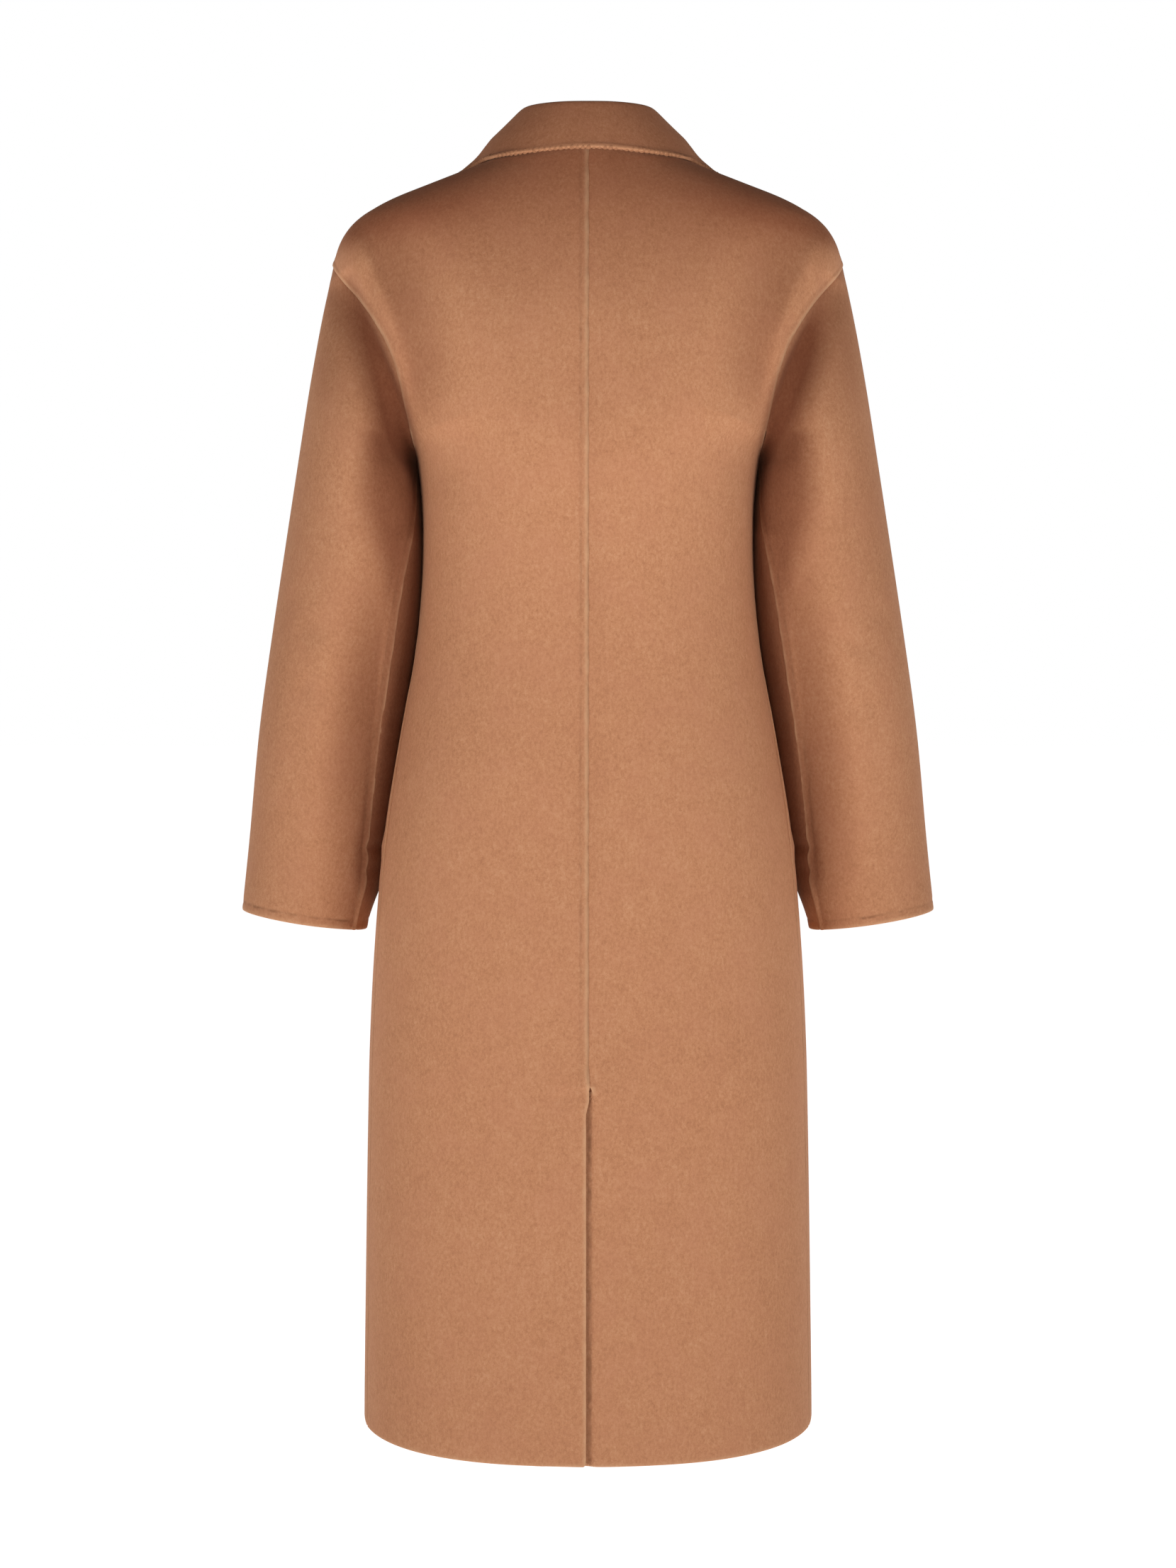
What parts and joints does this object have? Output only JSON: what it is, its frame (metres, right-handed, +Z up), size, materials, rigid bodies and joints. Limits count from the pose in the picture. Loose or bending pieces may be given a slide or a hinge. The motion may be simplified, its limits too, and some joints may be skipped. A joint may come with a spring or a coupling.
{
  "type": "long coat",
  "caption": "Long single-breasted wool coat with a turned collar and lapels, long sleeves and a back vent, filled out as worn with nobody inside.",
  "frame": {"origin": "base of the neck, midway between the inner ends of the shoulder seams and 7 mm above them, where the wearer's shoulders hold the coat up", "axes": "+X towards the wearer's left, -Y towards the front, +Z up"},
  "size_m": [0.612, 0.3341, 1.1405],
  "materials": {
    "wool": "camel double-faced wool with a short matt nap",
    "button": "dark brown horn look, satin"
  },
  "bodies": {
    "root": {"back_left": "wool", "back_right": "wool", "front_left": "wool", "front_right": "wool", "collar": "wool", "upper_sleeve_left": "wool", "upper_sleeve_right": "wool", "under_sleeve_left": "wool", "under_sleeve_right": "wool", "button_1": "button", "button_2": "button", "button_3": "button"}
  },
  "joints": []
}
